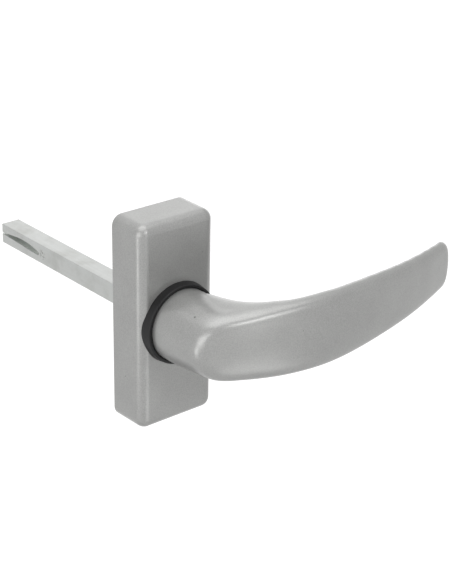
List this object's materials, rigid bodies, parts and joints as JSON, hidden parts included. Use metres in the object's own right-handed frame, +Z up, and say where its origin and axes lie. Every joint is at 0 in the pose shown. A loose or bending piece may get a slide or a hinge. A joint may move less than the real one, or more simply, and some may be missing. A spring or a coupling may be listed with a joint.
{
  "type": "window handle",
  "caption": "Window handle: curved cast lever turning in a narrow rectangular rosette, with a split square spindle",
  "frame": {"origin": "centre of the rosette's back face, where the spindle's axis leaves the sash", "axes": "+Y into the sash along the spindle, +X along the lever as pictured, +Z up"},
  "size_m": [0.116, 0.1313, 0.069],
  "materials": {
    "silver_paint": "satin silver powder coat on a zinc or aluminium casting",
    "ring_plastic": "black moulded plastic",
    "base_plastic": "dark glass-filled nylon",
    "hub_plastic": "natural nylon",
    "spindle_steel": "drawn bar, bright zinc plated",
    "spring_steel": "bare spring steel"
  },
  "bodies": {
    "rosette": {"base_plate": "base_plastic", "leaf_spring_left": "spring_steel", "leaf_spring_right": "spring_steel"},
    "cover": {"cover": "silver_paint", "guide_ring": "ring_plastic"},
    "lever": {"lever": "silver_paint", "spindle": "spindle_steel", "cross_pin": "spring_steel", "detent_hub": "hub_plastic", "thrust_washer": "spring_steel", "lock_ring": "spring_steel"}
  },
  "joints": [
    {"name": "lever_turn", "type": "hinge", "parent": "rosette", "child": "lever", "pos_m": [0, 0, 0], "axis": [0, 1, 0], "range_deg": [-90, 90], "deforming": ["leaf_spring_left", "leaf_spring_right"]},
    {"name": "cover_lift", "type": "slide", "parent": "rosette", "child": "cover", "axis": [0, -1, 0], "range_m": [0, 0.003]}
  ]
}
